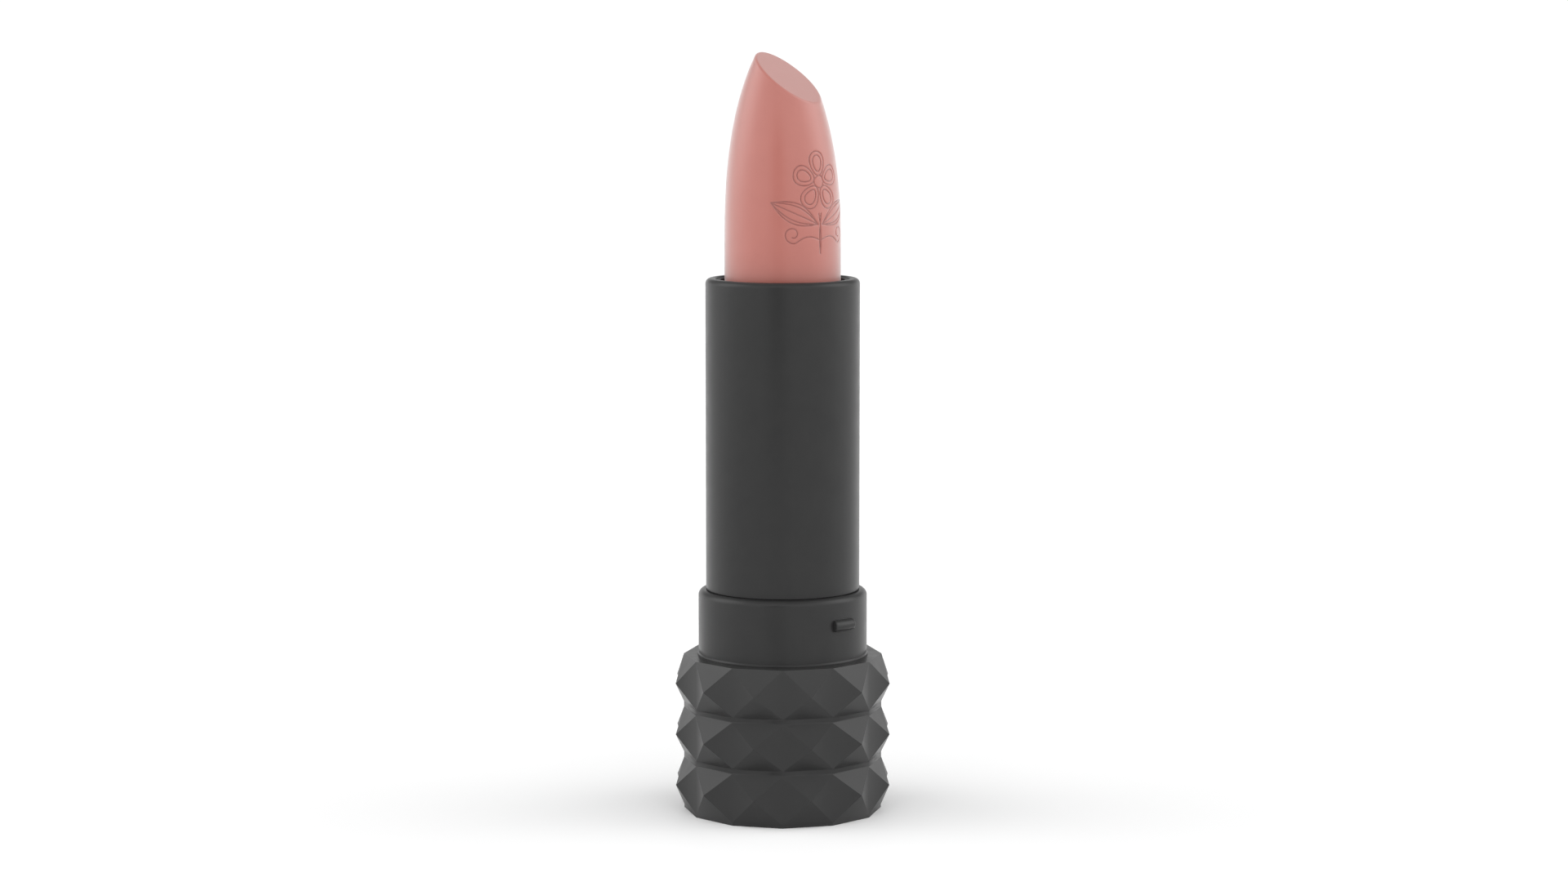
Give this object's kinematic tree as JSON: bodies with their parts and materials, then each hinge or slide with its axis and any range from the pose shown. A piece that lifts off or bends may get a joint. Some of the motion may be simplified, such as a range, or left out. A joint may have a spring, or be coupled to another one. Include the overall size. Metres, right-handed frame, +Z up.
{
  "type": "lipstick case",
  "caption": "Open twist-up lipstick: studded base, neck collar with cap catches, turning sleeve, cam mechanism and slant-cut bullet. No cap.",
  "frame": {"origin": "centre of the base's bottom face, on the surface it stands on", "axes": "+Z up along the lipstick, -Y towards the front, where a corner of the twelve-sided base points"},
  "size_m": [0.0224, 0.0224, 0.0796],
  "materials": {
    "case_black": "satin",
    "liner_black": "matte",
    "weight_steel": "turned",
    "label_white": "matte",
    "mechanism_black": "matte",
    "ring_rubber": "matte",
    "bullet_rose": "satin wax"
  },
  "bodies": {
    "base": {"base_shell": "case_black", "base_liner": "liner_black", "base_weight": "weight_steel", "foot_disc": "case_black", "foot_label": "label_white", "collar": "case_black", "inner_body": "mechanism_black", "drag_ring": "ring_rubber"},
    "sleeve": {"outer_sleeve": "case_black", "cam_tube": "mechanism_black"},
    "carrier": {"carrier_cup": "mechanism_black", "bullet": "bullet_rose"}
  },
  "joints": [
    {"name": "sleeve_turn", "type": "hinge", "parent": "base", "child": "sleeve", "pos_m": [0, 0, 0.0171], "axis": [0, 0, 1], "range_deg": [0, 540]},
    {"name": "bullet_lift", "type": "slide", "parent": "base", "child": "carrier", "axis": [0, 0, -1], "range_m": [0, 0.025]}
  ],
  "couplings": [
    {"joint": "bullet_lift", "follows": "sleeve_turn", "m_per_rad": 0.0026525}
  ]
}
